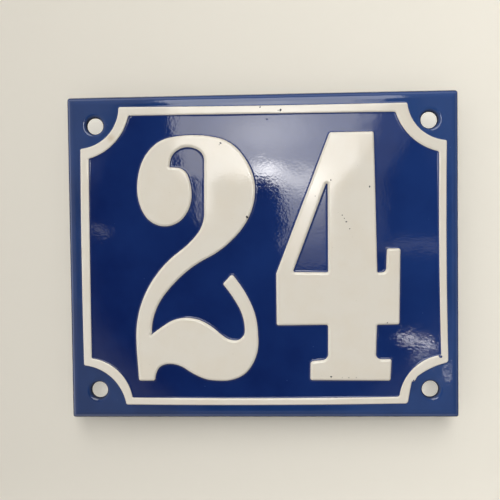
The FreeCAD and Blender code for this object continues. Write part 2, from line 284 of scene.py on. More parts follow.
class PlaqueStudio(bpy.types.PropertyGroup):
    """Lamps, wall and floor around the plaque."""

    window_glow: bpy.props.FloatProperty(
        name="Window glow", description="Radiance of the window that the top mirrors",
        default=4.6, min=0.0)
    sill_glow: bpy.props.FloatProperty(
        name="Sill glow", description="Extra radiance at the brightest spot over the sill",
        default=17.0, min=0.0)
    door_share: bpy.props.FloatProperty(
        name="Door share", description="Radiance at the door's foot as a share of the window's",
        default=0.25, min=0.0, max=1.0)
    streak_glow: bpy.props.FloatProperty(
        name="Streak glow", description="Radiance of the small light at the lower right",
        default=28.0, min=0.0)
    faint_glow: bpy.props.FloatProperty(
        name="Faint glow", description="Radiance of the faint bands and spots around",
        default=1.0, min=0.0)
    front_room: bpy.props.FloatProperty(
        name="Front of room", description="Radiance of the dim room straight in front",
        default=0.03, min=0.0)
    side_room: bpy.props.FloatProperty(
        name="Sides of room", description="Radiance of the room around, before it leans",
        default=0.5, min=0.0)
    ring_room: bpy.props.FloatProperty(
        name="Ring of room", description="Extra radiance in line with the wall, on all sides",
        default=0.7, min=0.0)
    back_lamp: bpy.props.FloatProperty(
        name="Back lamp", description="Radiance of the lamp straight behind",
        default=5.0, min=0.0)
    wall: bpy.props.FloatVectorProperty(
        name="Wall", description="Colour of the wall and the floor at the right",
        subtype="COLOR", size=3, min=0.0, max=1.0, default=linear("#f1ede2"))
    wall_shade: bpy.props.FloatVectorProperty(
        name="Shaded wall", description="Colour of the wall and the floor at the left",
        subtype="COLOR", size=3, min=0.0, max=1.0, default=linear("#d9d5cb"))
    light: bpy.props.FloatVectorProperty(
        name="Light", description="Colour of all the light",
        subtype="COLOR", size=3, min=0.0, max=1.0, default=linear("#fffdfa"))


def settings(name):
    """A property group's values, with its lengths in millimetres."""
    group = getattr(bpy.context.scene, name)
    values = {}
    for key, prop in group.bl_rna.properties.items():
        if prop.type != "FLOAT":
            continue
        value = getattr(group, key)
        values[key] = value / MM if prop.unit == "LENGTH" else value
    return namedtuple(name, values)(**values)


def along(edge, distance):
    """Place and heading at distances along an edge.

    The heading turns evenly. Over a distance d whose turn is t the chord is
    d * sin(t / 2) / (t / 2) long and points halfway between the two headings.
    """
    turned = edge.turn * distance / edge.length
    chord = distance * np.sinc(turned / (2.0 * math.pi))
    return edge.start + chord * np.exp(1j * (edge.heading + turned / 2.0)), edge.heading + turned


def edge_to(start, heading, end):
    """Edge that leaves start along a heading and ends at end.

    The angle from the heading to the chord is half of the edge's turn.
    """
    chord = end - start
    half = np.angle(chord * np.exp(-1j * heading))
    return Edge(start, heading, abs(chord) / np.sinc(half / math.pi), 2.0 * half)


def chain(steps):
    """Edges one after another, from 0 along the X axis, of lengths and turns."""
    edges = []
    place, heading = 0j, 0.0
    for length, turn in steps:
        edges.append(Edge(place, heading, length, turn))
        place, heading = along(edges[-1], length)
    return edges


def carried(edges, distance):
    """Place after each distance along a chain of edges, which ends at its last."""
    place = edges[0].start
    for edge in edges:
        step = np.clip(distance, 0.0, edge.length)
        place = place + along(edge, step)[0] - edge.start
        distance = distance - step
    return place


def two_arcs(start, start_heading, end, end_heading):
    """Two arcs, tangent to each other, from start to end with given headings.

    The tangents at both ends have one length, and the arcs meet halfway
    between the free ends of those tangents.
    """
    leaving = np.exp(1j * start_heading)
    arriving = np.exp(1j * end_heading)
    chord = end - start
    along_chord = (np.conj(chord) * (leaving + arriving)).real
    spread = 2.0 * (1.0 - (leaving * np.conj(arriving)).real)
    if spread < STRAIGHT ** 2:
        tangent = abs(chord) ** 2 / (2.0 * along_chord)
    else:
        root = math.sqrt(along_chord ** 2 + spread * abs(chord) ** 2)
        tangent = (root - along_chord) / spread
    free_start = start + tangent * leaving
    free_end = end - tangent * arriving
    meeting = (free_start + free_end) / 2.0
    return [edge_to(start, start_heading, meeting),
            edge_to(meeting, np.angle(free_end - free_start), end)]


def bend_between(first, second):
    """Angle from one heading to another, between -pi and pi."""
    return np.angle(np.exp(1j * (second - first)))


def smooth_stretch(nodes):
    """Edges through nodes of place and heading, straight where those agree."""
    edges = []
    for (start, heading0), (end, heading1) in zip(nodes, nodes[1:]):
        chord = np.angle(end - start)
        bend = abs(bend_between(chord, heading0)) + abs(bend_between(chord, heading1))
        if bend < STRAIGHT_STRETCH:
            edges.append(edge_to(start, chord, end))
        else:
            edges += two_arcs(start, heading0, end, heading1)
    return edges


def trimmed(stretch, start_cut, end_cut):
    """Edges of a stretch, shortened at its start and at its end."""
    first = stretch[0]
    place, heading = along(first, start_cut)
    left = first.length - start_cut
    stretch = [Edge(place, heading, left, first.turn * left / first.length)] + stretch[1:]
    last = stretch[-1]
    left = last.length - end_cut
    return stretch[:-1] + [Edge(last.start, last.heading, left, last.turn * left / last.length)]


def rounded_loop(stretches, radii):
    """Closed outline of stretches, with the corner before each one rounded.

    A corner of radius r that turns by an angle t takes r * tan(t / 2) off both
    stretches, and two tangent arcs fill it. One that hardly turns stays.
    """
    cuts = []
    for i, radius in enumerate(radii):
        before = stretches[i - 1][-1]
        turn = bend_between(before.heading + before.turn, stretches[i][0].heading)
        cuts.append(radius * math.tan(abs(turn) / 2.0))
    pieces = [trimmed(stretch, cuts[i], cuts[(i + 1) % len(cuts)])
              for i, stretch in enumerate(stretches)]
    loop = []
    for i, piece in enumerate(pieces):
        end, heading = along(pieces[i - 1][-1], pieces[i - 1][-1].length)
        if cuts[i] > SMALL:
            loop += two_arcs(end, heading, piece[0].start, piece[0].heading)
        loop += piece
    return loop


def smooth_outline(stretches, radii, origin):
    """Closed outline from stretches of nodes, drawn from the given origin."""
    return rounded_loop(
        [smooth_stretch([(complex(x, z) + origin, math.radians(heading)) for x, z, heading in nodes])
         for nodes in stretches], radii)


def bowed_outline(corners, origin=0j):
    """Closed outline from corners whose sides are straight or bowed.

    A side of length c with a bow b leaves its chord at the angle 2 * atan(2 * b / c).
    """
    places = [complex(x, z) + origin for x, z, bow, radius in corners]
    stretches = []
    for i, start in enumerate(places):
        end = places[(i + 1) % len(places)]
        chord = end - start
        lead = 2.0 * math.atan(2.0 * corners[i][2] / abs(chord))
        stretches.append([edge_to(start, np.angle(chord) + lead, end)])
    return rounded_loop(stretches, [radius for x, z, bow, radius in corners])


def nearest_on(edge, places):
    """Nearest point of an edge to each place, and the edge's course there."""
    if abs(edge.turn) < STRAIGHT:
        course = np.exp(1j * edge.heading)
        forward = np.clip(((places - edge.start) * np.conj(course)).real, 0.0, edge.length)
        return edge.start + forward * course, np.full(places.shape, course)
    curvature = edge.turn / edge.length
    centre = edge.start + 1j * np.exp(1j * edge.heading) / curvature
    middle = (along(edge, edge.length / 2.0)[0] - centre) * abs(curvature)
    half = abs(edge.turn) / 2.0
    angle = np.clip(np.angle((places - centre) * np.conj(middle)), -half, half)
    swing = np.exp(1j * angle)
    course = np.exp(1j * (edge.heading + edge.turn / 2.0)) * swing
    return centre + middle * swing / abs(curvature), course


def depth_inside(loop, places, reach):
    """How deep each place lies inside a closed outline, negative outside it.

    The size is the distance to the nearest edge, and the sign says on which
    side of that edge's course the place lies. Places further outside the
    outline's box than the reach get minus the reach.
    """
    marks = np.array([along(edge, share * edge.length)[0] for edge in loop for share in (0.0, 0.5)])
    near = ((places.real > marks.real.min() - reach) & (places.real < marks.real.max() + reach)
            & (places.imag > marks.imag.min() - reach) & (places.imag < marks.imag.max() + reach))
    inside = places[near]
    best = np.full(inside.shape, np.inf)
    signed = np.zeros(inside.shape)
    for edge in loop:
        point, course = nearest_on(edge, inside)
        away = inside - point
        distance = np.abs(away)
        side = (np.conj(course) * away).imag
        squareness = np.abs(side) / np.maximum(distance, SMALL)
        rank = distance * (1.0 - TIE * squareness) + TIE ** 2 * (1.0 - squareness)
        nearer = rank < best
        best = np.where(nearer, rank, best)
        signed = np.where(nearer, np.copysign(distance, side), signed)
    anticlockwise = sum(edge.turn for edge in loop) > 0.0
    depth = np.full(places.shape, -float(reach))
    depth[near] = np.maximum(signed if anticlockwise else -signed, -reach)
    return depth


LOOPS = {
    "two": [smooth_outline(TWO_STRETCHES, TWO_RADII, TWO_CORNER)],
    "four": [bowed_outline(FOUR_OUTLINE, FOUR_CORNER), bowed_outline(FOUR_COUNTER, FOUR_CORNER)],
    "border": [bowed_outline(BORDER_OUTER), bowed_outline(BORDER_INNER)],
}
# How far outside an outline its depth is still worked out
OUTLINE_REACH = 4.0


def white_depth(name, places):
    """How deep each place lies in a white part, negative in the blue.

    A part's second outline is its opening, so the smaller of the depth inside
    the first and the depth outside the second counts.
    """
    loops = LOOPS[name]
    depth = depth_inside(loops[0], places, OUTLINE_REACH)
    for opening in loops[1:]:
        depth = np.minimum(depth, -depth_inside(opening, places, OUTLINE_REACH))
    return depth


def rise(depth, height, foot, shoulder):
    """Relief at a depth inside an outline.

    Two parabolas meet at the outline with one slope, 2 * height / (foot +
    shoulder): the foot is hollow, and the shoulder is round up to the flat top.
    """
    slope = 2.0 * height / (foot + shoulder)
    on_foot = np.clip(depth + foot, 0.0, foot)
    on_shoulder = np.clip(depth, 0.0, shoulder)
    return slope * (on_foot ** 2 / (2.0 * foot) + on_shoulder - on_shoulder ** 2 / (2.0 * shoulder))


# Crossing waves of the fired sheet: the lengths along X and Z over which each
# turns by a radian, its phase and its share
WAVES = [(7.1, 13.0, 0.6, 1.0), (-17.0, 6.3, 1.9, 1.0), (4.1, 4.1, 0.0, 0.6)]


def waves(places, height):
    """Long shallow waves of the fired sheet: the mean of crossing sines, by their shares."""
    total = sum(share * np.sin(places.real / x_length + places.imag / z_length + phase)
                for x_length, z_length, phase, share in WAVES)
    return height * total / sum(wave[-1] for wave in WAVES)


def edge_profiles(sheet):
    """Chains across the bent edge, for the front and for the back.

    A profile's place is its reach outward plus i times its drop to the wall.
    Each runs round the bend and straight on, as far as the rim's round needs,
    round the rim's edge and halfway over the rim, where the two meet.
    """
    bend = sheet.edge_bend
    steep, lean = math.sin(bend), math.cos(bend)
    rim = sheet.rim_radius
    inner = sheet.edge_radius - sheet.thickness
    run = (sheet.depth - sheet.edge_radius * (1.0 - lean) - rim * (1.0 + lean)) / steep
    inner_run = (BACK_DEPTH - (inner + rim) * (1.0 - lean)) / steep
    front = [(sheet.edge_radius * bend, bend), (run, 0.0), (rim * (math.pi - bend), math.pi - bend)]
    back = [(inner * bend, bend), (inner_run, 0.0), (rim * bend, -bend)]
    ends = [carried(chain(steps), math.inf).real for steps in (front, back)]
    half = ((ends[0] - ends[1]) / 2.0, 0.0)
    return chain(front + [half]), chain(back + [half])


def flat_field(sheet):
    """Corner of the flat rectangle that the bent edges leave."""
    front = edge_profiles(sheet)[0]
    widest = carried(front, np.linspace(0.0, profile_length(front), PROFILE_TESTS)).real.max()
    return complex(HALF_WIDTH - widest, HALF_HEIGHT - widest)


def profile_length(profile):
    """Length of a chain of edges."""
    return sum(edge.length for edge in profile)


def bent_sheet(u, v, profile, power, flat):
    """Place and drop of the sheet at grid parameters u and v.

    Inside the flat rectangle the place is u + i * v. Past it, the larger
    overshoot of the two is the length along the profile, which gives a reach
    and a drop. The reach is measured out from the flat rectangle along the
    direction of the overshoots, whose superellipse of the given power rounds
    the plate's corners.
    """
    over_u = np.maximum(np.abs(u) - flat.real, 0.0)
    over_v = np.maximum(np.abs(v) - flat.imag, 0.0)
    over = np.maximum(over_u, over_v)
    carried_to = carried(profile, over)
    share = np.maximum(over, SMALL)
    size = ((over_u / share) ** power + (over_v / share) ** power) ** (1.0 / power)
    scale = carried_to.real / share / np.maximum(size, 1.0)
    x = np.copysign(np.minimum(np.abs(u), flat.real) + over_u * scale, u)
    z = np.copysign(np.minimum(np.abs(v), flat.imag) + over_v * scale, v)
    return x + 1j * z, carried_to.imag


def hole_offset(places):
    """Offset of each place from its quarter's screw hole, folded to upper right."""
    folded = np.abs(places.real) + 1j * np.abs(places.imag)
    return folded - HOLE_PLACE


def drawn_to_hole(places, lip):
    """Places moved in towards the screw holes, and the drop of their lips.

    Outside the lip nothing moves. Inside, the remaining distance is a length
    along the lip, a quarter circle that turns down into the hole's wall.
    """
    offset = hole_offset(places)
    distance = np.maximum(np.abs(offset), SMALL)
    start = HOLE_RADIUS + lip
    profile = chain([(lip * math.pi / 2.0, math.pi / 2.0), (BACK_DEPTH, 0.0)])
    carried_to = carried(profile, np.maximum(start - distance, 0.0))
    radius = np.where(distance < start, start - carried_to.real, distance)
    moved = HOLE_PLACE + offset / distance * radius
    x = np.copysign(moved.real, places.real)
    z = np.copysign(moved.imag, places.imag)
    return x + 1j * z, carried_to.imag


def front_surface(u, v, sheet, relief):
    """Points of the front in millimetres at grid parameters u and v.

    The depth in front of the wall is the field's depth, less the drop of the
    bent edge and of the hole's lip, plus the relief and the long waves, which
    fade out over the bend.
    """
    profile = edge_profiles(sheet)[0]
    places, drop = bent_sheet(u, v, profile, sheet.corner_power, flat_field(sheet))
    places, lip_drop = drawn_to_hole(places, sheet.hole_lip)
    height = rise(white_depth("border", places), relief.border_height,
                  relief.border_foot, relief.border_shoulder)
    for name in ("two", "four"):
        height += rise(white_depth(name, places), relief.numeral_height,
                       relief.numeral_foot, relief.numeral_shoulder)
    fade = np.clip(1.0 - drop / sheet.edge_radius, 0.0, 1.0)
    ripple = (waves(places, sheet.wave_height) - sheet.wave_height) * fade
    y = -(sheet.depth - drop - lip_drop + height + ripple)
    return np.stack([places.real, y, places.imag], axis=-1)


def back_surface(u, v, sheet, relief):
    """Points of the back in millimetres at grid parameters u and v.

    The sheet's bend has the inner radius here, and the rim's round turns
    outward. The hollows of the raised forms lie a little inside their outlines.
    """
    profile = edge_profiles(sheet)[1]
    places, drop = bent_sheet(u, v, profile, sheet.corner_power, flat_field(sheet))
    groove = relief.groove_inset
    height = rise(white_depth("border", places) - groove, relief.border_height, groove, groove)
    for name in ("two", "four"):
        inset = relief.back_inset
        height += rise(white_depth(name, places) - inset, relief.numeral_height, inset, inset)
    fade = np.clip(1.0 - drop / (sheet.edge_radius - sheet.thickness), 0.0, 1.0)
    ripple = (waves(places, sheet.wave_height) - sheet.wave_height) * fade
    y = -(BACK_DEPTH - drop + height + ripple)
    return np.stack([places.real, y, places.imag], axis=-1)


def grid(half, cell):
    """Parameters of a grid over a centred rectangle, and its triangles.

    The cells' diagonals alternate like the squares of a chessboard.
    """
    count_u = math.ceil(2.0 * half.real / cell)
    count_v = math.ceil(2.0 * half.imag / cell)
    u, v = np.meshgrid(np.linspace(-half.real, half.real, count_u + 1),
                       np.linspace(-half.imag, half.imag, count_v + 1))
    i, j = (a.ravel() for a in np.meshgrid(np.arange(count_u), np.arange(count_v)))
    low = j * (count_u + 1) + i
    corners = np.stack([low, low + 1, low + count_u + 2, low + count_u + 1], axis=1)
    corners = np.where(((i + j) % 2 == 1)[:, None], np.roll(corners, -1, axis=1), corners)
    triangles = np.concatenate([corners[:, [0, 1, 2]], corners[:, [0, 2, 3]]])
    return u.ravel() + 1j * v.ravel(), triangles


def split(points, triangles, level):
    """Cuts triangles along the line where the level is zero.

    Each cut edge gets one new point, placed by the levels at its two ends.
    Returns all points, the triangles on the positive side and the others.
    """
    high = level > 0.0
    count = high[triangles].sum(axis=1)
    mixed = triangles[(count == 1) | (count == 2)]
    mixed_high = high[mixed]
    lone_high = mixed_high.sum(axis=1) == 1
    lone = np.where(lone_high, mixed_high.argmax(axis=1), (~mixed_high).argmax(axis=1))
    order = (lone[:, None] + np.arange(3)) % 3
    tip, left, right = np.take_along_axis(mixed, order, axis=1).T
    pairs = np.sort(np.concatenate([np.stack([tip, left]), np.stack([tip, right])], axis=1), axis=0)
    keys, index = np.unique(pairs[0] * len(points) + pairs[1], return_inverse=True)
    first, second = np.divmod(keys, len(points))
    share = level[first] / (level[first] - level[second])
    share = np.clip(share, CUT_MARGIN, 1.0 - CUT_MARGIN)
    added = points[first] + share * (points[second] - points[first])
    on_left, on_right = (len(points) + index.ravel()).reshape(2, -1)
    tips = np.stack([tip, on_left, on_right], axis=1)
    bases = np.stack([np.stack([on_left, left, right], axis=1),
                      np.stack([on_left, right, on_right], axis=1)])
    upper = [triangles[count == 3], tips[lone_high], *bases[:, ~lone_high]]
    lower = [triangles[count == 0], tips[~lone_high], *bases[:, lone_high]]
    return np.concatenate([points, added]), np.concatenate(upper), np.concatenate(lower)


def compact(points, triangles):
    """Only the points that the triangles use, and the triangles on them."""
    used, index = np.unique(triangles, return_inverse=True)
    return points[used], index.reshape(triangles.shape)


def shaped(parameters, surface, flip):
    """Points and normals of a surface at its parameters.

    A normal is the cross product of the surface's two slopes, each taken over
    a small step of one parameter, and flipped for a surface seen from behind.
    """
    u = parameters.real
    v = parameters.imag
    points = surface(u, v)
    slope_u = surface(u + SLOPE_STEP, v) - surface(u - SLOPE_STEP, v)
    slope_v = surface(u, v + SLOPE_STEP) - surface(u, v - SLOPE_STEP)
    normals = np.cross(slope_u, slope_v)
    normals /= np.maximum(np.linalg.norm(normals, axis=1, keepdims=True), SMALL ** 2)
    return points, -normals if flip else normals


def burnt_and_shaded(points, sheet):
    """How far the blue is darkened at each point, from 0 to 1: thin enamel and painted shade at the rim
    and round the screw holes.
    """
    offset = np.abs(hole_offset(points[:, 0] + 1j * points[:, 2]))
    at_hole = (HOLE_RADIUS + HOLE_BURN_AND_SHADE - offset) / HOLE_BURN_AND_SHADE
    at_rim = (sheet.rim_radius + RIM_BURN_AND_SHADE + points[:, 1]) / RIM_BURN_AND_SHADE
    return np.clip(np.maximum(at_hole, at_rim), 0.0, 1.0)


def new_piece(name, points, triangles, material, normals=None, burn=None):
    """Mesh piece from points in millimetres, riding on the plaque."""
    mesh = bpy.data.meshes.new(name)
    mesh.vertices.add(len(points))
    mesh.vertices.foreach_set("co", (points * MM).astype(np.float32).ravel())
    mesh.loops.add(triangles.size)
    mesh.loops.foreach_set("vertex_index", triangles.astype(np.int32).ravel())
    mesh.polygons.add(len(triangles))
    mesh.polygons.foreach_set("loop_start", np.arange(0, triangles.size, 3, dtype=np.int32))
    mesh.update(calc_edges=True)
    mesh.shade_smooth()
    if normals is not None:
        mesh.normals_split_custom_set_from_vertices(normals.tolist())
    if burn is not None:
        attribute = mesh.attributes.new("burn", "FLOAT", "POINT")
        attribute.data.foreach_set("value", burn.astype(np.float32))
    mesh.materials.append(material)
    piece = bpy.data.objects.new(name, mesh)
    bpy.context.scene.collection.objects.link(piece)
    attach(piece, BODY)
    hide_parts(NODE)
    return piece


def add(tree, kind, inputs=(), **options):
    """Adds one node, with its own options, and fills or links its inputs."""
    node = tree.nodes.new(kind)
    for name, value in options.items():
        setattr(node, name, value)
    for name, value in dict(inputs).items():
        if isinstance(value, bpy.types.NodeSocket):
            tree.links.new(value, node.inputs[name])
        else:
            node.inputs[name].default_value = value
    return node


def new_material(name):
    """Material with an empty node tree, and its output node."""
    material = bpy.data.materials.get(name) or bpy.data.materials.new(name)
    material.use_nodes = True
    tree = material.node_tree
    tree.nodes.clear()
    return material, tree, tree.nodes.new("ShaderNodeOutputMaterial")


def per_metre(millimetres):
    """Scale of a pattern whose features measure so many millimetres."""
    return 1.0 / (millimetres * MM)


def rgba(colour):
    """Colour with full opacity."""
    return (*colour, 1.0)


# Patterns in the enamels, in millimetres: how wide the features of a noise
# are, how far apart specks lie, and how high a bump rises
PEEL_WIDTH = 0.7
PEEL_HEIGHT = 0.008
UNEVEN_WIDTH = 5.0
UNEVEN_HEIGHT = 0.02
BLUE_CLOUDS = 15.0
DUST_APART = 4.5
WHITE_CLOUDS = 12.0
DOTS_APART = 3.2
GROUND_CLOUDS = 9.0
GRAIN_WIDTH = 0.6
GRAIN_HEIGHT = 0.02
# Refraction of the vitreous enamels and of the thin ground coat
GLASS_IOR = 1.52
GROUND_IOR = 1.5
# How the blue turns lighter along X and Z, in shares per metre
LIGHTER_SIDE = (5.5, 0.0, 3.0)
# How far the blue turns to the ground coat at the rim and round the screw holes, where the enamel burns
# thin and shade is painted
BURNT_AND_SHADED_SHARE = 0.85
# Rust stain on the border's upper left arc: place, and radius in millimetres
STAIN_PLACE = (-45.3 * MM, -4.4 * MM, 36.5 * MM)
STAIN_RADIUS = 1.6


def blended(tree, value, ends, share, first, second):
    """Colour that turns from the first towards the second between two ends.

    At the value's second end the second colour has the given share.
    """
    factor = add(tree, "ShaderNodeMapRange", {
        "Value": value, "From Min": ends[0], "From Max": ends[1], "To Max": share})
    mix = add(tree, "ShaderNodeMix", {
        "Factor": factor.outputs["Result"], "A": first, "B": second}, data_type="RGBA")
    return mix.outputs["Result"]


def fired_gloss(tree, output, place, colour):
    """Gloss of fired enamel: orange peel over slow unevenness.

    Orange peel is the fine dimpling that the melting glass leaves. It tears
    the edges of reflections.
    """
    peel = add(tree, "ShaderNodeTexNoise", {
        "Vector": place, "Scale": per_metre(PEEL_WIDTH), "Detail": 2.0, "Roughness": 0.5})
    fine = add(tree, "ShaderNodeBump", {
        "Height": peel.outputs["Fac"], "Strength": 1.0, "Distance": PEEL_HEIGHT * MM})
    uneven = add(tree, "ShaderNodeTexNoise", {
        "Vector": place, "Scale": per_metre(UNEVEN_WIDTH), "Detail": 1.0})
    slow = add(tree, "ShaderNodeBump", {
        "Height": uneven.outputs["Fac"], "Strength": 1.0, "Distance": UNEVEN_HEIGHT * MM,
        "Normal": fine.outputs["Normal"]})
    shader = add(tree, "ShaderNodeBsdfPrincipled", {
        "Base Color": colour, "Roughness": settings("plaque_colours").front_roughness,
        "IOR": GLASS_IOR, "Normal": slow.outputs["Normal"]})
    tree.links.new(shader.outputs["BSDF"], output.inputs["Surface"])


def blue_vitreous_enamel(name, thick, thin):
    """Cobalt blue glass fused to steel: deep gloss, with pale dust in it.

    To the eye the blue is near black where it reflects the dim room, and lavender where it reflects a
    light. It is a little lighter to the upper right, and it lies thinner, so lighter, in clouds some 15
    mm wide. It goes dark at the rim and round the screw holes, where it burns thin and where painted
    shade stands in for the shade of the turned edge and of the hole's lip.
    """
    colours = settings("plaque_colours")
    material, tree, output = new_material(name)
    place = add(tree, "ShaderNodeTexCoord").outputs["Object"]
    clouds = add(tree, "ShaderNodeTexNoise", {
        "Vector": place, "Scale": per_metre(BLUE_CLOUDS), "Detail": 3.0, "Roughness": 0.55})
    side = add(tree, "ShaderNodeVectorMath", {0: place, 1: LIGHTER_SIDE}, operation="DOT_PRODUCT")
    thinner = add(tree, "ShaderNodeMath", {
        0: clouds.outputs["Fac"], 1: side.outputs["Value"]}, operation="ADD")
    glass = blended(tree, thinner.outputs["Value"], (0.1, 0.9), 1.0, rgba(thick), rgba(thin))
    specks = add(tree, "ShaderNodeTexVoronoi", {
        "Vector": place, "Scale": per_metre(DUST_APART)}, feature="F1")
    dusty = blended(tree, specks.outputs["Distance"], (0.035, 0.015), 0.5, glass, rgba(colours.dust))
    # Painted shade and thin enamel: the blue darkens towards the ground coat at the rim and round the
    # screw holes
    burn = add(tree, "ShaderNodeAttribute", attribute_name="burn")
    colour = blended(tree, burn.outputs["Fac"], (0.0, 1.0), BURNT_AND_SHADED_SHARE, dusty, rgba(colours.ground))
    fired_gloss(tree, output, place, colour)
    return material


def white_vitreous_enamel():
    """Ivory white opaque glass fused over the blue: gloss, warm and uneven.

    Clouds some 12 mm wide are yellower, dots a few tenths of a millimetre
    wide are where the glass boiled, and one small stain is rusty.
    """
    colours = settings("plaque_colours")
    material, tree, output = new_material("white_vitreous_enamel")
    place = add(tree, "ShaderNodeTexCoord").outputs["Object"]
    clouds = add(tree, "ShaderNodeTexNoise", {
        "Vector": place, "Scale": per_metre(WHITE_CLOUDS), "Detail": 4.0, "Roughness": 0.6})
    glass = blended(tree, clouds.outputs["Fac"], (0.4, 0.7), 1.0,
                    rgba(colours.white), rgba(colours.white_warm))
    dots = add(tree, "ShaderNodeTexVoronoi", {
        "Vector": place, "Scale": per_metre(DOTS_APART)}, feature="F1")
    dotted = blended(tree, dots.outputs["Distance"], (0.05, 0.02), 0.35, glass, rgba(colours.boiled))
    away = add(tree, "ShaderNodeVectorMath", {0: place, 1: STAIN_PLACE}, operation="DISTANCE")
    colour = blended(tree, away.outputs["Value"], (STAIN_RADIUS * MM, 0.0), 0.55,
                     dotted, rgba(colours.rust))
    fired_gloss(tree, output, place, colour)
    return material


def ground_coat_enamel():
    """Thin dark ground coat: satin, grainy, with steel-grey thin places."""
    colours = settings("plaque_colours")
    material, tree, output = new_material("ground_coat_enamel")
    place = add(tree, "ShaderNodeTexCoord").outputs["Object"]
    clouds = add(tree, "ShaderNodeTexNoise", {
        "Vector": place, "Scale": per_metre(GROUND_CLOUDS), "Detail": 5.0, "Roughness": 0.65})
    colour = blended(tree, clouds.outputs["Fac"], (0.45, 0.8), 0.6,
                     rgba(colours.ground), rgba(colours.ground_thin))
    grain = add(tree, "ShaderNodeTexNoise", {
        "Vector": place, "Scale": per_metre(GRAIN_WIDTH), "Detail": 3.0})
    bump = add(tree, "ShaderNodeBump", {
        "Height": grain.outputs["Fac"], "Strength": 1.0, "Distance": GRAIN_HEIGHT * MM})
    shader = add(tree, "ShaderNodeBsdfPrincipled", {
        "Base Color": colour, "Roughness": colours.back_roughness, "IOR": GROUND_IOR,
        "Normal": bump.outputs["Normal"]})
    tree.links.new(shader.outputs["BSDF"], output.inputs["Surface"])
    return material


class PLAQUE_OT_front(bpy.types.Operator):
    """Blue field and margin, white numerals and white border line."""

    bl_idname = "plaque.front"
    bl_label = "Front enamel"

    def execute(self, context):
        sheet = settings("plaque_sheet")
        relief = settings("plaque_relief")
        colours = settings("plaque_colours")
        white = white_vitreous_enamel()
        field = blue_vitreous_enamel("blue_vitreous_field", colours.blue, colours.blue_thin)
        # The margin gets a lighter copy of the blue: painted sheen for the light that the margin and
        # its turned edge reflect
        margin = blue_vitreous_enamel("blue_vitreous_margin", colours.margin, colours.margin_thin_painted_sheen)
        half = flat_field(sheet) + (1 + 1j) * profile_length(edge_profiles(sheet)[0])

        def surface(u, v):
            return front_surface(u, v, sheet, relief)

        def wall_place(parameters):
            points = surface(parameters.real, parameters.imag)
            return points[:, 0] + 1j * points[:, 2]

        parameters, triangles = grid(half, sheet.front_cell)
        # The front runs over a hole's lip and down its wall to the sheet's back
        hole_run = sheet.hole_lip * math.pi / 2.0 + sheet.thickness - sheet.hole_lip
        clear = np.abs(hole_offset(parameters)) - (HOLE_RADIUS + sheet.hole_lip - hole_run)
        parameters, triangles, _ = split(parameters, triangles, clear)
        for name in LOOPS:
            level = white_depth(name, wall_place(parameters))
            parameters, raised, triangles = split(parameters, triangles, level)
            used, faces = compact(parameters, raised)
            points, normals = shaped(used, surface, False)
            new_piece("white_" + name, points, faces, white, normals)
        centres = wall_place(parameters)[triangles].mean(axis=1)
        inner = depth_inside(LOOPS["border"][0], centres, OUTLINE_REACH) > 0.0
        for name, kept, blue in (("blue_field", inner, field), ("blue_margin", ~inner, margin)):
            used, faces = compact(parameters, triangles[kept])
            points, normals = shaped(used, surface, False)
            new_piece(name, points, faces, blue, normals, burnt_and_shaded(points, sheet))
        return {"FINISHED"}


class PLAQUE_OT_back(bpy.types.Operator):
    """Dark ground coat over the hollow back, the hole edges and the rim."""

    bl_idname = "plaque.back"
    bl_label = "Back coat"

    def execute(self, context):
        sheet = settings("plaque_sheet")
        relief = settings("plaque_relief")
        half = flat_field(sheet) + (1 + 1j) * profile_length(edge_profiles(sheet)[1])
        parameters, triangles = grid(half, sheet.back_cell)
        clear = np.abs(hole_offset(parameters)) - HOLE_RADIUS
        parameters, triangles, _ = split(parameters, triangles, clear)
        used, faces = compact(parameters, triangles)
        points, normals = shaped(used, lambda u, v: back_surface(u, v, sheet, relief), True)
        new_piece("back_coat", points, faces[:, ::-1], ground_coat_enamel(), normals)
        return {"FINISHED"}


# Caps over pinholes and over blue runs: rings, spokes and height
PINHOLE_CAP = (3, 12, 0.015)
RUN_CAP = (4, 16, 0.04)
# How far a cap's rim swells and shrinks, as a share of its radius, and how far
# its rim sinks in, as a share of its height
CAP_SWELL = 0.18
CAP_SINK = 0.05
# Turns the swelling of one cap against the next, in radians per millimetre
CAP_TURN = 5.0


def caps(spots, rings, spokes, height, surface):
    """Low uneven caps on a surface, one for each spot of x, z and radius.

    At a share r of its radius a cap stands height * (1 - r ** 2) above the
    surface, plus the sink s as height * s * (1 - 2 * r). The radius swells
    twice on the way round.
    """
    spots = np.array(spots)
    share, angle = np.meshgrid(np.linspace(0.0, 1.0, rings + 1),
                               np.linspace(0.0, 2.0 * math.pi, spokes, endpoint=False),
                               indexing="ij")
    spot_x, spot_z, spot_radius = spots.T[:, :, None, None]
    swell = 1.0 + CAP_SWELL * np.sin(2.0 * angle + CAP_TURN * spot_x)
    x = spot_x + spot_radius * share * swell * np.cos(angle)
    z = spot_z + spot_radius * share * swell * np.sin(angle)
    points = surface(x.ravel(), z.ravel())
    lift = height * (1.0 - share ** 2 + CAP_SINK * (1.0 - 2.0 * share))
    points[:, 1] -= np.broadcast_to(lift, x.shape).ravel()
    ring, spoke = (a.ravel() for a in np.meshgrid(np.arange(rings), np.arange(spokes), indexing="ij"))
    following = (spoke + 1) % spokes
    low, low_next = ring * spokes + spoke, ring * spokes + following
    quads = np.stack([low, low + spokes, low_next + spokes, low_next], axis=1)
    faces = np.concatenate([quads[:, [0, 1, 2]], quads[ring > 0][:, [0, 2, 3]]])
    starts = np.arange(len(spots)) * (rings + 1) * spokes
    return points, (faces[None] + starts[:, None, None]).reshape(-1, 3)


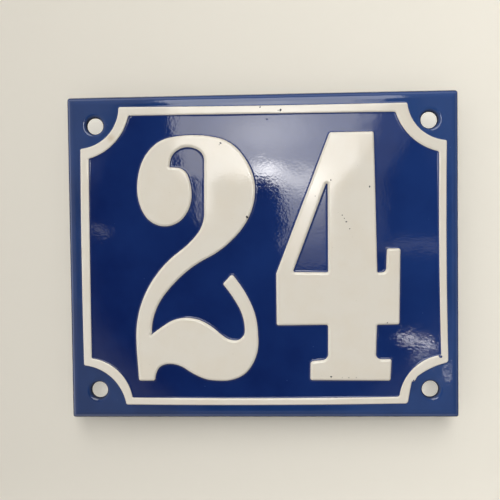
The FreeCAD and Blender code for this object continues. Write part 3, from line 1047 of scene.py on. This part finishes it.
class PLAQUE_OT_blemishes(bpy.types.Operator):
    """Pinholes in the white enamel, and blue runs on the border line."""

    bl_idname = "plaque.blemishes"
    bl_label = "Blemishes"

    def execute(self, context):
        sheet = settings("plaque_sheet")
        relief = settings("plaque_relief")
        colours = settings("plaque_colours")
        blue = blue_vitreous_enamel("blue_vitreous_field", colours.blue, colours.blue_thin)

        def surface(u, v):
            return front_surface(u, v, sheet, relief)

        points, faces = caps(PINHOLES, *PINHOLE_CAP, surface)
        new_piece("pinholes", points, faces, ground_coat_enamel())
        points, faces = caps(BLUE_RUNS, *RUN_CAP, surface)
        new_piece("blue_runs", points, faces, blue)
        return {"FINISHED"}


# Camera as the photo was taken: its place and its aim on the wall plane in
# millimetres, and its roll in degrees
CAMERA_PLACE = (1.32, -155.27, 5.33)
CAMERA_AIM = (-3.67, 0.0, 2.07)
CAMERA_ROLL = -0.68
CAMERA_LENS = 36.0
CAMERA_SENSOR = 36.0

# The lights stand this far in front of the wall plane
LIGHT_DISTANCE = 1500.0
# Radius that rounds the corners of their outlines
LIGHT_CORNER = 0.1
# Widths of the soft edges of the window and of the streak
WINDOW_SOFTNESS = 0.9
STREAK_SOFTNESS = 0.35
# Cells of a light's mesh across its soft edge
CELLS_PER_EDGE = 1.5
# Outlines of the lights, as corners x, z in millimetres where the flat field
# mirrors them to the camera. The window widens upwards. From its sill a
# narrow tongue hangs at the left and a door at the right.
WINDOW = [
    (-25.2, 24.3), (-19.8, 24.3), (-19.2, 11.2), (-16.2, 11.2), (-15.6, 24.3), (-1.5, 24.2),
    (1.5, 23.2), (4.7, 22.0), (6.7, 18.8), (7.6, 13.6), (8.0, 10.0), (5.8, 5.4), (6.4, 0.5),
    (9.0, -3.4), (21.5, -3.4), (20.6, 13.0), (22.3, 22.0), (27.0, 26.3), (31.7, 31.0),
    (34.7, 37.7), (37.5, 47.1), (46.0, 70.0), (56.0, 140.0), (80.0, 260.0), (-55.5, 260.0),
    (-42.5, 140.0), (-31.6, 75.0), (-29.5, 50.0), (-27.4, 46.0), (-26.6, 33.0), (-25.2, 30.5)]
STREAK = [
    (41.9, -25.3), (45.0, -26.5), (48.4, -27.9), (52.5, -29.4), (52.9, -28.7), (50.4, -27.6),
    (47.5, -26.4), (44.8, -25.0), (42.8, -24.6)]
# Soft hills of extra light over the sill: place, spread and share of the glow
SILL_HILLS = [(1.8 + 26.0j, 5.0 + 2.6j, 1.0), (12.0 + 23.5j, 8.0 + 4.0j, 0.45),
              (2.0 + 38.0j, 14.0 + 9.0j, 0.25)]
# Between these levels the light fades down the door
DOOR_LOW = -2.0
DOOR_HIGH = 20.0
# Faint lights: share of the faint glow, softness of the edge and corners
FAINT = [
    (0.6, 3.0, [(33.0, 3.0), (36.6, 3.0), (37.4, 24.0), (44.0, 33.0), (47.0, 46.0), (33.0, 46.0)]),
    (1.0, 2.6, [(33.0, 1.0), (54.0, 1.0), (54.0, 3.8), (33.0, 3.8)]),
    (2.6, 1.2, [(-53.0, 8.7), (-47.9, 6.9), (-47.5, 8.0), (-52.6, 10.2)]),
    (1.0, 2.0, [(42.5, -25.0), (44.0, -23.4), (48.0, -23.6), (52.0, -26.2), (52.6, -28.8)]),
    (14.0, 0.3, [(47.0, -32.8), (50.1, -30.8), (52.7, -29.5), (52.7, -29.1), (49.9, -30.4),
                 (46.8, -32.5)]),
    (24.0, 0.4, [(56.2, -36.0), (56.7, -35.6), (56.9, -38.2), (56.5, -38.6)]),
]


def smooth_step(value, start, end):
    """0 before start and 1 past end, with the cubic 3t^2 - 2t^3 between."""
    t = np.clip((value - start) / (end - start), 0.0, 1.0)
    return t * t * (3.0 - 2.0 * t)


def bump_at(places, centre, spread):
    """Round hill exp(-d^2) about a centre, d being the offset over the spread."""
    offset = places - centre
    return np.exp(-(offset.real / spread.real) ** 2 - (offset.imag / spread.imag) ** 2)


def inside_softly(corners, places, softness):
    """1 inside an outline and 0 outside, with a soft edge of the given width."""
    outline = bowed_outline([(x, z, 0.0, LIGHT_CORNER) for x, z in corners])
    depth = depth_inside(outline, places, softness)
    return smooth_step(depth, -softness / 2.0, softness / 2.0)


def light_panel(name, corners, softness, radiance, colour):
    """Upright glowing panel behind an outline that the flat field mirrors.

    The panel's place for a mirrored place p is p + (p - c) * d / e, where c is
    the camera's place in the plane of the wall, d the lights' distance from the
    wall and e the camera's. The radiance is a function of the mirrored place.
    """
    cell = softness / CELLS_PER_EDGE
    camera = complex(CAMERA_PLACE[0], CAMERA_PLACE[2])
    x_low, z_low = np.min(corners, axis=0) - softness
    x_high, z_high = np.max(corners, axis=0) + softness
    x, z = np.meshgrid(np.arange(x_low, x_high, cell), np.arange(z_low, z_high, cell))
    places = (x + 1j * z).ravel()
    panel_places = places - (places - camera) * LIGHT_DISTANCE / CAMERA_PLACE[1]
    points = np.stack([panel_places.real, np.full(places.shape, -LIGHT_DISTANCE),
                       panel_places.imag], axis=-1)
    rows, columns = x.shape
    low = (np.arange(rows - 1)[:, None] * columns + np.arange(columns - 1)).ravel()
    quads = np.stack([low, low + columns, low + columns + 1, low + 1], axis=1)
    strength = radiance(places)
    quads = quads[strength[quads].max(axis=1) > 0.0]
    mesh = bpy.data.meshes.new(name)
    mesh.from_pydata((points * MM).tolist(), [], quads.tolist())
    glow = mesh.attributes.new("glow", "FLOAT", "POINT")
    glow.data.foreach_set("value", strength.astype(np.float32))
    material, tree, output = new_material(name)
    strength = add(tree, "ShaderNodeAttribute", attribute_name="glow")
    emission = add(tree, "ShaderNodeEmission", {
        "Color": rgba(colour), "Strength": strength.outputs["Fac"]})
    tree.links.new(emission.outputs["Emission"], output.inputs["Surface"])
    mesh.materials.append(material)
    panel = bpy.data.objects.new(name, mesh)
    panel.visible_camera = False
    bpy.context.scene.collection.objects.link(panel)


def window_radiance(studio):
    """Radiance of the window: even, with soft hills over its sill.

    It fades down the door to a share of itself.
    """
    def radiance(places):
        hills = sum(share * bump_at(places, centre, spread) for centre, spread, share in SILL_HILLS)
        fade = smooth_step(places.imag, DOOR_LOW, DOOR_HIGH)
        fade = studio.door_share + (1.0 - studio.door_share) * fade
        glow = (studio.window_glow + studio.sill_glow * hills) * fade
        return glow * inside_softly(WINDOW, places, WINDOW_SOFTNESS)
    return radiance


def even_radiance(corners, glow, softness):
    """Radiance of a light that is even inside an outline."""
    def radiance(places):
        return glow * inside_softly(corners, places, softness)
    return radiance


# Wall and floor: the wall's Y behind the rim, the radius of the cove between
# them, the floor's level and how far both go
WALL_Y = 6.5
COVE_RADIUS = 80.0
COVE_STEPS = 12
FLOOR_LEVEL = -150.0
BACKDROP_REACH = 2500.0
# The wall turns from its shaded to its full colour over this far to both sides
SHADE_REACH = 85.0
# Painted light: through the upper and the lower screw holes the wall glows as bright as this, though
# the plaque shades it there
HOLE_GLOW_HIGH = 0.68
HOLE_GLOW_LOW = 0.42
# Where the camera sees the wall through the holes: X and Z of each spot, to
# both sides, and the radii between which its glow fades
GLOW_X = 53.5
GLOW_Z = 42.9
GLOW_RADII = (3.6, 3.0)


def backdrop(studio):
    """Wall and floor in one sweep: a profile of wall, cove and floor along X.

    The cove is a quarter circle. Only the camera sees the sweep, and only from its front, so that the
    plaque's back is lit and seen as well. Where the screw holes show the wall, it glows with painted
    light, enough to be as bright there as out of the plaque's shadow.
    """
    angle = np.linspace(0.0, math.pi / 2.0, COVE_STEPS + 1)
    y = np.concatenate([[WALL_Y], WALL_Y - COVE_RADIUS * (1.0 - np.cos(angle)), [-BACKDROP_REACH]])
    z = np.concatenate([[BACKDROP_REACH], FLOOR_LEVEL + COVE_RADIUS * (1.0 - np.sin(angle)),
                        [FLOOR_LEVEL]])
    ends = np.array([-BACKDROP_REACH, BACKDROP_REACH])
    points = np.stack([np.repeat(ends, len(y)), np.tile(y, 2), np.tile(z, 2)], axis=1)
    low = np.arange(len(y) - 1)
    faces = np.stack([low, low + 1, low + 1 + len(y), low + len(y)], axis=1)
    mesh = bpy.data.meshes.new("backdrop")
    mesh.from_pydata((points * MM).tolist(), [], faces.tolist())
    mesh.shade_smooth()
    material, tree, output = new_material("painted_wall")
    seen = add(tree, "ShaderNodeLightPath").outputs["Is Camera Ray"]
    behind = add(tree, "ShaderNodeNewGeometry").outputs["Backfacing"]
    shown = add(tree, "ShaderNodeMath", {0: seen, 1: behind}, operation="SUBTRACT")
    place = add(tree, "ShaderNodeTexCoord").outputs["Object"]
    axes = add(tree, "ShaderNodeSeparateXYZ", {"Vector": place})
    colour = blended(tree, axes.outputs["X"], (-SHADE_REACH * MM, SHADE_REACH * MM), 1.0,
                     rgba(studio.wall_shade), rgba(studio.wall))
    paint = add(tree, "ShaderNodeBsdfDiffuse", {"Color": colour})
    folded = add(tree, "ShaderNodeVectorMath", {0: place}, operation="ABSOLUTE")
    away = add(tree, "ShaderNodeVectorMath", {
        0: folded.outputs["Vector"], 1: (GLOW_X * MM, WALL_Y * MM, GLOW_Z * MM)}, operation="DISTANCE")
    spot = add(tree, "ShaderNodeMapRange", {
        "Value": away.outputs["Value"], "From Min": GLOW_RADII[0] * MM, "From Max": GLOW_RADII[1] * MM})
    level = add(tree, "ShaderNodeMapRange", {
        "Value": axes.outputs["Z"], "From Min": -HALF_HEIGHT * MM, "From Max": HALF_HEIGHT * MM,
        "To Min": HOLE_GLOW_LOW, "To Max": HOLE_GLOW_HIGH})
    strength = add(tree, "ShaderNodeMath", {
        0: spot.outputs["Result"], 1: level.outputs["Result"]}, operation="MULTIPLY")
    # Painted light: the wall glows in spots where the camera sees it through the screw holes
    glow = add(tree, "ShaderNodeEmission", {
        "Color": colour, "Strength": strength.outputs["Value"]})
    lit = add(tree, "ShaderNodeAddShader", {0: paint.outputs["BSDF"], 1: glow.outputs["Emission"]})
    clear = add(tree, "ShaderNodeBsdfTransparent")
    mixed = add(tree, "ShaderNodeMixShader", {
        0: shown.outputs["Value"], 1: clear.outputs["BSDF"], 2: lit.outputs["Shader"]})
    tree.links.new(mixed.outputs["Shader"], output.inputs["Surface"])
    mesh.materials.append(material)
    sweep = bpy.data.objects.new("backdrop", mesh)
    bpy.context.scene.collection.objects.link(sweep)


# Y of a unit direction, which is -1 straight in front: where the dim front of
# the room ends, where the ring in line with the wall fades out, where the room
# behind begins and where the lamp behind stands
FRONT_ENDS = (-0.943, -0.922)
RING_ENDS = (0.24, 0.12)
BEHIND_STARTS = (0.0, 0.3)
BEHIND_SHARE = 0.4
LAMP_STARTS = (0.965, 0.975)
# The room around is brighter to the left. Its radiance leans with the
# direction's X and Z, about a level.
ROOM_LEAN = (-0.5, 0.0, 0.1)
ROOM_LEVEL = 1.0
# The world shows as bright as this to the camera
WORLD_SEEN = 0.85


def surroundings(studio):
    """World: a dim room in front, paler around, and a lamp straight behind.

    The radiance is worked out from the direction: from its Y between the
    limits above, and from its X and Z by the room's lean.
    """
    world = bpy.data.worlds.new("room")
    bpy.context.scene.world = world
    world.use_nodes = True
    tree = world.node_tree
    tree.nodes.clear()
    output = tree.nodes.new("ShaderNodeOutputWorld")
    direction = add(tree, "ShaderNodeTexCoord").outputs["Generated"]
    forward = add(tree, "ShaderNodeSeparateXYZ", {"Vector": direction}).outputs["Y"]
    around = add(tree, "ShaderNodeMapRange", {
        "Value": forward, "From Min": FRONT_ENDS[0], "From Max": FRONT_ENDS[1],
        "To Min": studio.front_room, "To Max": studio.side_room})
    slant = add(tree, "ShaderNodeVectorMath", {0: direction, 1: ROOM_LEAN}, operation="DOT_PRODUCT")
    lean = add(tree, "ShaderNodeMath", {0: slant.outputs["Value"], 1: ROOM_LEVEL}, operation="ADD")
    behind = add(tree, "ShaderNodeMapRange", {
        "Value": forward, "From Min": BEHIND_STARTS[0], "From Max": BEHIND_STARTS[1],
        "To Min": 1.0, "To Max": BEHIND_SHARE})
    room = add(tree, "ShaderNodeMath", {
        0: around.outputs["Result"], 1: behind.outputs["Result"]}, operation="MULTIPLY")
    from_wall = add(tree, "ShaderNodeMath", {0: forward}, operation="ABSOLUTE")
    ring = add(tree, "ShaderNodeMapRange", {
        "Value": from_wall.outputs["Value"], "From Min": RING_ENDS[0], "From Max": RING_ENDS[1],
        "To Min": 0.0, "To Max": studio.ring_room})
    level = add(tree, "ShaderNodeMath", {
        0: room.outputs["Value"], 1: ring.outputs["Result"]}, operation="ADD")
    leant = add(tree, "ShaderNodeMath", {
        0: level.outputs["Value"], 1: lean.outputs["Value"]}, operation="MULTIPLY")
    lamp = add(tree, "ShaderNodeMapRange", {
        "Value": forward, "From Min": LAMP_STARTS[0], "From Max": LAMP_STARTS[1],
        "To Min": 0.0, "To Max": studio.back_lamp})
    glow = add(tree, "ShaderNodeMath", {
        0: leant.outputs["Value"], 1: lamp.outputs["Result"]}, operation="ADD")
    seen = add(tree, "ShaderNodeLightPath").outputs["Is Camera Ray"]
    strength = add(tree, "ShaderNodeMix", {
        "Factor": seen, "A": glow.outputs["Value"], "B": WORLD_SEEN}, data_type="FLOAT")
    background = add(tree, "ShaderNodeBackground", {
        "Color": rgba(studio.light), "Strength": strength.outputs["Result"]})
    tree.links.new(background.outputs["Background"], output.inputs["Surface"])


def photo_camera():
    """Camera at the photo's place, aim and roll."""
    data = bpy.data.cameras.new("photo_camera")
    data.lens = CAMERA_LENS
    data.sensor_width = CAMERA_SENSOR
    data.clip_start = 10.0 * MM
    camera = bpy.data.objects.new("photo_camera", data)
    place = Vector(CAMERA_PLACE) * MM
    look = Vector(CAMERA_AIM) * MM - place
    roll = Quaternion((0.0, 0.0, 1.0), math.radians(CAMERA_ROLL))
    camera.rotation_mode = "QUATERNION"
    camera.rotation_quaternion = look.to_track_quat("-Z", "Y") @ roll
    camera.location = place
    bpy.context.scene.collection.objects.link(camera)
    bpy.context.scene.camera = camera


class PLAQUE_OT_stage(bpy.types.Operator):
    """Wall, floor, lamps, world and camera."""

    bl_idname = "plaque.stage"
    bl_label = "Studio"

    def execute(self, context):
        studio = settings("plaque_studio")
        context.scene.view_settings.view_transform = "Standard"
        light_panel("window_light", WINDOW, WINDOW_SOFTNESS, window_radiance(studio), studio.light)
        light_panel("streak_light", STREAK, STREAK_SOFTNESS,
                    even_radiance(STREAK, studio.streak_glow, STREAK_SOFTNESS), studio.light)
        for i, (share, softness, corners) in enumerate(FAINT):
            light_panel("faint_light_%d" % (i + 1), corners, softness,
                        even_radiance(corners, share * studio.faint_glow, softness), studio.light)
        backdrop(studio)
        surroundings(studio)
        photo_camera()
        return {"FINISHED"}


class PLAQUE_PT_panel(bpy.types.Panel):
    """Lists the plaque's sizes, colours and steps in the sidebar."""

    bl_idname = "PLAQUE_PT_panel"
    bl_label = "House number"
    bl_space_type = "VIEW_3D"
    bl_region_type = "UI"
    bl_category = "House number"

    def draw(self, context):
        for name in GROUPS:
            group = getattr(context.scene, name)
            box = self.layout.box()
            box.label(text=type(group).__name__)
            for key, prop in group.bl_rna.properties.items():
                if prop.type == "FLOAT":
                    box.prop(group, key)
        for operator in OPERATORS:
            self.layout.operator(operator.bl_idname)


GROUPS = {
    "plaque_sheet": PlaqueSheet,
    "plaque_relief": PlaqueRelief,
    "plaque_colours": PlaqueColours,
    "plaque_studio": PlaqueStudio,
}
OPERATORS = [PLAQUE_OT_front, PLAQUE_OT_back, PLAQUE_OT_blemishes, PLAQUE_OT_stage]
CLASSES = [*GROUPS.values(), *OPERATORS, PLAQUE_PT_panel]


def register():
    for kind in CLASSES:
        bpy.utils.register_class(kind)
    for name, kind in GROUPS.items():
        setattr(bpy.types.Scene, name, bpy.props.PointerProperty(type=kind))


def unregister():
    for name in GROUPS:
        delattr(bpy.types.Scene, name)
    for kind in reversed(CLASSES):
        bpy.utils.unregister_class(kind)


def main():
    register()
    for operator in OPERATORS:
        group, name = operator.bl_idname.split(".")
        getattr(getattr(bpy.ops, group), name)()


if __name__ == "__main__":
    main()
